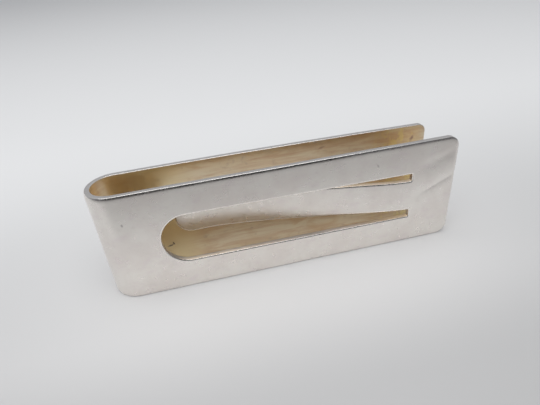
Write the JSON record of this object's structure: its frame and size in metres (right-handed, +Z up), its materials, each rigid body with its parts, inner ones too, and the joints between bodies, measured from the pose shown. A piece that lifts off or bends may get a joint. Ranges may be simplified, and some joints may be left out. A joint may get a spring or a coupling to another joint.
{
  "type": "money clip",
  "caption": "Folded sheet money clip: a front leaf with a spring tongue cut from its window, a round fold and a shorter back leaf.",
  "frame": {"origin": "middle of the footprint on the surface the clip stands on, under its long edges", "axes": "+X from the fold to the open end, +Y from the front leaf with the window to the back leaf, +Z up along the strip's width"},
  "size_m": [0.062, 0.0088, 0.02],
  "materials": {
    "silver_strip": "worn satin sterling silver outside with fine scratches, yellow-brown tarnish on the inside faces, brighter rubbed edges",
    "silver_tongue": "worn satin sterling silver on the outer face, yellow-brown tarnish underneath"
  },
  "bodies": {
    "front_body": {"front_leaf": "silver_strip", "fold_front_half": "silver_strip", "tongue_root": "silver_tongue"},
    "back_body": {"fold_back_half": "silver_strip", "back_leaf": "silver_strip"},
    "tongue_heel_body": {"tongue_heel": "silver_tongue"},
    "tongue_arm_body": {"tongue_arm": "silver_tongue"},
    "tongue_tip_body": {"tongue_tip": "silver_tongue"}
  },
  "joints": [
    {"name": "leaf_spread", "type": "hinge", "parent": "front_body", "child": "back_body", "pos_m": [-0.02908, -0.00003, 0.01], "axis": [0, 0, 1], "range_deg": [0, 4], "stiffness_Nm_per_rad": 8},
    {"name": "tongue_lift", "type": "hinge", "parent": "front_body", "child": "tongue_heel_body", "pos_m": [0.01634, -0.00284, 0.01], "axis": [0, 0, 1], "range_deg": [0, 7.2], "stiffness_Nm_per_rad": 3.8},
    {"name": "tongue_bend", "type": "hinge", "parent": "tongue_heel_body", "child": "tongue_arm_body", "pos_m": [0.00306, 0.00022, 0.01], "axis": [0, 0, 1], "range_deg": [0, 4.35]},
    {"name": "tongue_curl", "type": "hinge", "parent": "tongue_arm_body", "child": "tongue_tip_body", "pos_m": [-0.00936, 0.00241, 0.01], "axis": [0, 0, 1], "range_deg": [0, 1.45]}
  ],
  "couplings": [
    {"joint": "tongue_bend", "follows": "tongue_lift", "ratio": 0.6},
    {"joint": "tongue_curl", "follows": "tongue_lift", "ratio": 0.2}
  ]
}
